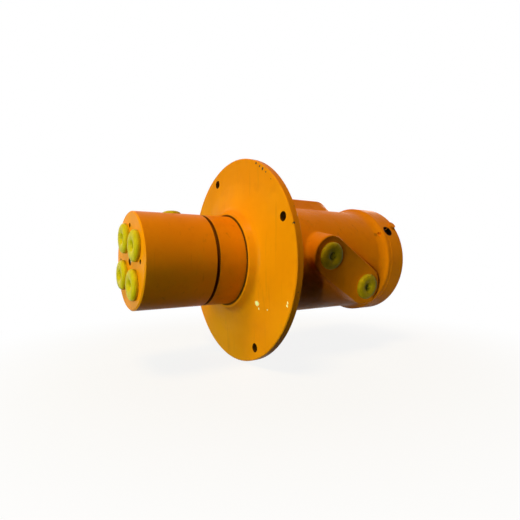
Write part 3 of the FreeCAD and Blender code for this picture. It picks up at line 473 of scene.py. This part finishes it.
def lathe(profile, steps):
    """Mesh spun about X from (x, radius) points in millimetres."""
    mesh = bmesh.new()
    chain = [mesh.verts.new((x * MM, 0, radius * MM)) for x, radius in profile]
    edges = [mesh.edges.new(pair) for pair in zip(chain, chain[1:])]
    bmesh.ops.spin(mesh, geom=chain + edges, cent=(0, 0, 0), axis=(1, 0, 0), angle=math.tau,
                   steps=steps, use_merge=True)
    bmesh.ops.remove_doubles(mesh, verts=mesh.verts, dist=DOUBLES_WITHIN)
    bmesh.ops.recalc_face_normals(mesh, faces=mesh.faces)
    return mesh


def soften(mesh, radius, sharper_than):
    """Rounds every edge that turns by more than the angle."""
    limit = math.radians(sharper_than)
    sharp = [edge for edge in mesh.edges
             if len(edge.link_faces) == 2 and edge.calc_face_angle() > limit]
    bmesh.ops.bevel(mesh, geom=sharp, affect="EDGES", offset=radius * MM, segments=3,
                    profile=0.5, material=-1, clamp_overlap=True)


def finished_piece(name, mesh, place, material, body, replaced):
    """Turns a bmesh into a piece whose object stays at the origin."""
    bmesh.ops.transform(mesh, matrix=place, verts=mesh.verts)
    data = bpy.data.meshes.new(name)
    mesh.to_mesh(data)
    mesh.free()
    data.shade_smooth()
    data.set_sharp_from_angle(angle=math.radians(SHARP_ANGLE))
    data.materials.append(material)
    piece = bpy.data.objects.new(name, data)
    bpy.context.scene.collection.objects.link(piece)
    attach(piece, body)
    if replaced:
        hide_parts(*replaced)
    return piece


print("lathe ready")

# %% [markdown]
# ## Transport plugs
#
# Each plug is a soft cap with a thick rolled rim and a finger hole in the middle, on a short hollow
# stem with sealing ribs. The imported model has the right size and seat but flat cones. Here the cap
# gets its doughnut crown, and the stem its ribs. Grease and dust gather in the hole, and the hole
# and the crowns of the pad plugs also get painted shade, so the points there carry a high value of
# dirt and shade that the plastic reads. The core's plugs carry only a little of it.

# %% Plug shape
LARGE_PLUG = (14.75, 9.4)
SMALL_PLUG = (10.0, 5.8)
PLUG_HEIGHT = 5.2
PLUG_STEPS = 56
HOLE_SHARE = 0.25
CREST_SHARE = 0.62
CROWN_DEPTH = 6
# The crown's and the hole's shares are dirt and painted shade.
CROWN_SOIL_AND_SHADE = 0.38
STEM_SOIL = 0.6
HOLE_SOIL_AND_SHADE_RISE = 3.4


def plug_section(cap, stem):
    """Section from the open end of the stem to the floor of the finger hole, in millimetres."""
    top = PLUG_HEIGHT
    hole = HOLE_SHARE * cap
    crest = CREST_SHARE * cap
    section = [(-11, stem - 2), (-11, stem - 0.8), (-9.6, stem - 0.15)]
    for rib in (-8.4, -6.2, -4.0):
        section += [(rib - 0.5, stem - 0.35), (rib, stem), (rib + 0.5, stem - 0.35)]
    section += [(0, stem - 0.2), (0, cap - 0.4), (0.5, cap)]
    section += [(top - 2.6, cap), (top - 1.2, cap - 0.8), (top - 0.3, cap - 2.4)]
    section += [(top, crest + 0.6), (top, crest - 0.6), (top - 0.7, hole + 2.0)]
    section += [(top - 2.4, hole + 0.3), (top - 5.0, hole - 0.4), (top - 5.2, 0)]
    return section


def plug_mesh(cap, stem, dirt_and_shade):
    """Plug along +X with its seat at 0, for the cap's and the stem's radius and a share of dirt and
    painted shade.
    """
    mesh = lathe(plug_section(cap, stem), PLUG_STEPS)
    soften(mesh, radius=0.45, sharper_than=24)
    rim_of_hole = (HOLE_SHARE * cap + 1.6) * MM
    soil_and_shade = mesh.verts.layers.float.new("soil_and_shade")
    for point in mesh.verts:
        depth = PLUG_HEIGHT * MM - point.co.x
        reach = math.hypot(point.co.y, point.co.z)
        inside = min(1.0, HOLE_SOIL_AND_SHADE_RISE * max(0.0, 1 - reach / rim_of_hole))
        on_crown = depth < CROWN_DEPTH * MM
        # Dirt and painted shade: dark in the finger hole, and on the pad plugs' whole crown.
        point[soil_and_shade] = dirt_and_shade * max(CROWN_SOIL_AND_SHADE, inside) if on_crown else STEM_SOIL
    return mesh


def outer_end(node, outward):
    """Centre of a turned piece's outer end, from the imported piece's own points."""
    side = outward.orthogonal().normalized()
    other = outward.cross(side)
    points = [vertex.co for vertex in nodes[node].data.vertices]
    centre = Vector((0, 0, 0))
    for way in (side, other):
        reach = [point.dot(way) for point in points]
        centre += way * (min(reach) + max(reach)) / 2
    return centre + outward * max(point.dot(outward) for point in points)


print("plug section points:", len(plug_section(*LARGE_PLUG)))

# %% Ten plugs in their ports
# Dirt and painted shade: the pad plugs are darkened far more than the core's.
CORE_DIRT_AND_SHADE = 0.12
HOUSING_DIRT_AND_SHADE = 1.0
hose_side = Vector((-1, 0, 0))
plug_directions = {"housing_plug_1": around(1, 349), "housing_plug_2": around(1, 349),
                   "housing_plug_3": around(1, 115), "housing_plug_4": around(1, 115),
                   "housing_drain_plug": around(1, 205), "core_drain_plug": around(1, 95)}
for count in range(1, 5):
    plug_directions[f"core_plug_{count}"] = hose_side
for name, outward in plug_directions.items():
    cap, stem = SMALL_PLUG if "drain" in name else LARGE_PLUG
    on_core = name.startswith("core")
    crown = outer_end(name, outward)
    seat = Matrix.Translation(crown - outward * PLUG_HEIGHT * MM) @ towards(outward)
    mesh = plug_mesh(cap, stem, CORE_DIRT_AND_SHADE if on_core else HOUSING_DIRT_AND_SHADE)
    plug = finished_piece("moulded_" + name, mesh, seat, plastic,
                          "core_side" if on_core else "housing_side", [name])
    print(plug.name, "crown at", [round(value * 1000, 1) for value in crown])
print("faces of the last plug:", len(plug.data.polygons))

# %% [markdown]
# ## Socket screws
#
# Six M8 socket screws hold the end cover and four more the thrust plate inside. The lathe makes
# head and shank with the thread's ridges. A hexagon with its sides cut into as many points as the
# rim is bridged to the head, and its edge is pushed down for the socket. A "film" value says where
# the spray gun reached: the head's outside, and not the socket or the shank.

# %% Screw shape
SCREW_STEPS = 48
HEAD_HEIGHT = 8.0
SOCKET_FLATS = 6.0
SOCKET_DEPTH = 4.0
SHANK = 4.0
SCREW_PITCH = 1.25
COVER_SCREW = 29.6
PLATE_SCREW = 23.5


def screw_profile(length):
    """Section from the socket's rim outward and down the shank, in millimetres."""
    top = HEAD_HEIGHT
    section = [(top, 4.2), (top, 5.7), (top - 0.4, 6.3), (top - 1.0, 6.5)]
    section += [(0.3, 6.5), (0.0, 6.2), (0.0, SHANK), (-2.0, SHANK)]
    for turn in range(int((length - 3.5) / SCREW_PITCH)):
        root = -2.4 - turn * SCREW_PITCH
        section += [(root, 3.45), (root - SCREW_PITCH / 2, SHANK)]
    return section + [(-length + 0.4, 3.4), (-length, 3.0), (-length, 0)]


def cut_socket(mesh):
    """Closes the open rim of the head with a hexagon and pushes its middle down."""
    rim = [edge for edge in mesh.edges if edge.is_boundary]
    lying = Matrix.Translation((HEAD_HEIGHT * MM, 0, 0)) @ Matrix.Rotation(math.pi / 2, 4, "Y")
    corner_radius = SOCKET_FLATS / math.sqrt(3) * MM
    bmesh.ops.create_circle(mesh, segments=6, radius=corner_radius, matrix=lying)
    sides = [edge for edge in mesh.edges if edge.is_wire]
    bmesh.ops.subdivide_edges(mesh, edges=sides, cuts=SCREW_STEPS // 6 - 1)
    hexagon = [edge for edge in mesh.edges if edge.is_wire]
    bmesh.ops.bridge_loops(mesh, edges=rim + hexagon)
    walls = bmesh.ops.extrude_edge_only(mesh, edges=hexagon)["geom"]
    lower = [item for item in walls if isinstance(item, bmesh.types.BMVert)]
    bmesh.ops.translate(mesh, verts=lower, vec=(-SOCKET_DEPTH * MM, 0, 0))
    bmesh.ops.edgeloop_fill(mesh, edges=[edge for edge in mesh.edges if edge.is_boundary])
    bmesh.ops.recalc_face_normals(mesh, faces=mesh.faces)


def screw_mesh(length):
    """Socket screw along +X with the seat of its head at 0."""
    mesh = lathe(screw_profile(length), SCREW_STEPS)
    cut_socket(mesh)
    film = mesh.verts.layers.float.new("film")
    for point in mesh.verts:
        reach = math.hypot(point.co.y, point.co.z)
        on_head = point.co.x > 0.2 * MM and reach > 3.9 * MM
        point[film] = 1.0 if on_head else 0.0
    return mesh


print("screw section points:", len(screw_profile(COVER_SCREW)))

# %% Screws of the cover and the thrust plate
inner_side = Vector((1, 0, 0))
screws = {f"cover_screw_{count}": COVER_SCREW for count in range(1, 7)}
screws.update({f"plate_screw_{count}": PLATE_SCREW for count in range(1, 5)})
for name, length in screws.items():
    seat = Matrix.Translation(outer_end(name, inner_side) - inner_side * HEAD_HEIGHT * MM)
    on_cover = name.startswith("cover")
    piece = finished_piece("turned_" + name, screw_mesh(length), seat,
                           painted_zinc if on_cover else zinc,
                           "housing_side" if on_cover else "core_side", [name])
print("screws:", len(screws), "faces of the last:", len(piece.data.polygons))

# %% [markdown]
# ## Threads in the open holes
#
# The middle hole and the four small holes of the hose face are tapped. A thread is one triangle
# that spins about the hole and steps along it by a pitch for each turn, so that its spin needs a
# small shift for every step.

# %% Tapped holes
THREAD_STEPS = 32
COUNTERSINK = 0.6


def thread_mesh(radius, pitch, depth):
    """Ridge of a thread that winds into a hole along +X from 0, in millimetres."""
    mesh = bmesh.new()
    root = radius + 0.1
    corners = [(0, root), (pitch / 2, radius - 0.4 * pitch), (pitch * 0.9, root)]
    points = [mesh.verts.new((x * MM, 0, reach * MM)) for x, reach in corners]
    edges = [mesh.edges.new((points[index - 1], points[index])) for index in range(3)]
    turns = int(depth / pitch)
    bmesh.ops.spin(mesh, geom=points + edges, cent=(0, 0, 0), axis=(1, 0, 0),
                   angle=math.tau * turns, dvec=(pitch / THREAD_STEPS * MM, 0, 0),
                   steps=THREAD_STEPS * turns)
    bmesh.ops.holes_fill(mesh, edges=[edge for edge in mesh.edges if edge.is_boundary])
    bmesh.ops.recalc_face_normals(mesh, faces=mesh.faces)
    return mesh


hose_face = min(vertex.co.x for vertex in nodes["core"].data.vertices)
thread_start = Vector((hose_face + COUNTERSINK * MM, 0, 0))
tapped = [("centre", CENTRE_HOLE, CENTRE_HOLE_RADIUS, 1.5, 18)]
tapped += [(f"lock_{count}", hole, LOCK_HOLE_RADIUS, 0.8, 10)
           for count, hole in enumerate(LOCK_HOLES, start=1)]
for label, hole, radius, pitch, depth in tapped:
    place = Matrix.Translation(hole + thread_start)
    thread = finished_piece("thread_" + label, thread_mesh(radius, pitch, depth), place,
                            thread_steel, "core_side", [])
print("threads:", len(tapped), "reach of the last:", round(thread.dimensions.x * 1000, 2), "mm")

# %% [markdown]
# ## Camera
#
# The photograph was fitted with a plain pinhole camera: the axis of the union points away to the
# right, the lens is level with it and quite close, which is why the hose face looks large. The
# place and the directions of the camera come straight from that fit.

# %% Camera
CAMERA_PLACE = Vector((-219, -372.2, 1.8)) * MM
CAMERA_AIM = Vector((0.5492, 0.8357, -0.0047))
CAMERA_TOP = Vector((0.0085, 0, 1))
CAMERA_LENS = 26.6


def studio_camera():
    data = bpy.data.cameras.new("camera")
    data.sensor_width = 36
    data.lens = CAMERA_LENS
    data.clip_start = 0.01
    data.clip_end = 50
    camera = bpy.data.objects.new("camera", data)
    forward = CAMERA_AIM.normalized()
    right = forward.cross(CAMERA_TOP).normalized()
    up = right.cross(forward)
    turned = Matrix((right, up, -forward)).transposed().to_4x4()
    camera.matrix_world = Matrix.Translation(CAMERA_PLACE) @ turned
    bpy.context.scene.collection.objects.link(camera)
    bpy.context.scene.camera = camera
    return camera


camera = studio_camera()
bpy.context.scene.view_settings.view_transform = "Standard"
print("camera at", [round(value, 3) for value in camera.matrix_world.translation])

# %% [markdown]
# ## Floor and background
#
# The photograph has a white ground and strong side light: the flange and hose face, which look to
# the left, are bright, tops are orange, and the underside is almost black. A white floor would
# light the underside, so the ground is white to the camera and in reflections, and dark to the
# light that bounces between surfaces. The floor has no mirror light of its own either, because
# that would carry the white background back to the underside. Near the object the floor keeps a
# soft shadow. Further out it grows fully white, so that no horizon shows.

# %% Floor and background
SHADOW_MIDDLE = (0.04, 0, 0)
SHADOW_FADES = (0.14, 0.42)
LEAST_WHITE = 0.87
FLOOR_SIZE = 12
WORLD_LEVEL = 0.004


def white_rays(tree):
    """Value that is 1 for camera, glossy and transmission rays and 0 for bounced light."""
    rays = tree.nodes.new("ShaderNodeLightPath")
    seen = rays.outputs["Is Camera Ray"]
    for kind in ("Is Glossy Ray", "Is Transmission Ray"):
        either = tree.nodes.new("ShaderNodeMath")
        either.operation = "MAXIMUM"
        tree.links.new(seen, either.inputs[0])
        tree.links.new(rays.outputs[kind], either.inputs[1])
        seen = either.outputs["Value"]
    return seen


def floor_white():
    finish = Finish("floor_white")
    seen = white_rays(finish.tree)
    pale = finish.mix(seen, colour(0.01, 0.01, 0.01), colour(0.8, 0.8, 0.8))
    finish.set(Base_Color=pale, Roughness=0.9, Specular_IOR_Level=0.0)
    reach = finish.away(SHADOW_MIDDLE, finish.scaled((1, 1, 0)))
    share = finish.times(seen, finish.span(reach, *SHADOW_FADES, LEAST_WHITE, 1.0))
    white = finish.add("ShaderNodeEmission").outputs[0]
    inputs = {0: share, 1: finish.surface.outputs[0], 2: white}
    both = finish.add("ShaderNodeMixShader", inputs).outputs[0]
    finish.feed(finish.tree.nodes["Material Output"].inputs["Surface"], both)
    return finish.material


def studio_floor(height):
    mesh = bmesh.new()
    lying = Matrix.Translation((0, 0, height))
    bmesh.ops.create_grid(mesh, x_segments=1, y_segments=1, size=FLOOR_SIZE, matrix=lying)
    data = bpy.data.meshes.new("floor")
    mesh.to_mesh(data)
    mesh.free()
    floor = bpy.data.objects.new("floor", data)
    bpy.context.scene.collection.objects.link(floor)
    data.materials.append(floor_white())
    return floor


def studio_world(level):
    """White to the camera and in reflections, and a very weak warm light otherwise."""
    world = bpy.data.worlds.new("studio")
    world.use_nodes = True
    bpy.context.scene.world = world
    tree = world.node_tree
    plain = tree.nodes["Background"]
    plain.inputs["Color"].default_value = colour(1.0, 0.93, 0.85)
    plain.inputs["Strength"].default_value = level
    white = tree.nodes.new("ShaderNodeBackground")
    white.inputs["Color"].default_value = colour(1, 1, 1)
    both = tree.nodes.new("ShaderNodeMixShader")
    tree.links.new(white_rays(tree), both.inputs[0])
    tree.links.new(plain.outputs[0], both.inputs[1])
    tree.links.new(white.outputs[0], both.inputs[2])
    tree.links.new(both.outputs[0], tree.nodes["World Output"].inputs["Surface"])
    return world


floor = studio_floor(cad_box[0].z)
world = studio_world(WORLD_LEVEL)
print("floor at", round(floor.data.vertices[0].co.z, 4))

# %% [markdown]
# ## Lamps
#
# A window on the left lights all that looks that way, and a smaller one further forward lights the
# side. The ceiling lamp makes the tops orange, and a window behind keeps the back readable from
# other angles. The flange and the pad would leave the flared end dark, so a narrow beam with a soft
# edge reaches past them.

# %% Lamps
def aimed(name, data, place, target, watts, tint):
    """Lamp object at the place, turned to the target."""
    data.energy = watts
    data.color = tint
    light = bpy.data.objects.new(name, data)
    aim = (Vector(target) - Vector(place)).to_track_quat("-Z", "Y")
    light.matrix_world = Matrix.Translation(place) @ aim.to_matrix().to_4x4()
    bpy.context.scene.collection.objects.link(light)
    return light


def lamp(name, place, target, size, watts, tint):
    """Round soft lamp."""
    data = bpy.data.lights.new(name, "AREA")
    data.shape = "DISK"
    data.size = size
    return aimed(name, data, place, target, watts, tint)


def narrow_lamp(name, place, target, size, angle, watts, tint):
    """Lamp whose beam has the angle in degrees and a soft edge."""
    data = bpy.data.lights.new(name, "SPOT")
    data.shadow_soft_size = size
    data.spot_size = math.radians(angle)
    data.spot_blend = 1.0
    return aimed(name, data, place, target, watts, tint)


lamps = [
    lamp("window_left", (-1.10, -0.14, 0.02), (0.03, 0, 0), 0.5, 9.4, (0.79, 1.0, 0.50)),
    lamp("window_back", (1.25, 0.58, 0.18), (0.08, 0, 0), 0.8, 12, (1.0, 0.95, 0.80)),
    lamp("window_front", (-1.22, -0.60, -0.03), (0.12, 0, 0), 0.25, 4.0, (0.80, 1.0, 0.45)),
    lamp("ceiling", (-0.85, -0.52, 2.10), (0.03, 0, 0), 0.8, 39, (1.0, 0.71, 0.33)),
    narrow_lamp("end_light", (-1.15, -0.95, -0.03), (0.188, -0.056, -0.038), 0.05, 4.6, 68,
                (1.0, 0.88, 0.4)),
]
print("lamps:", [light.name for light in lamps])
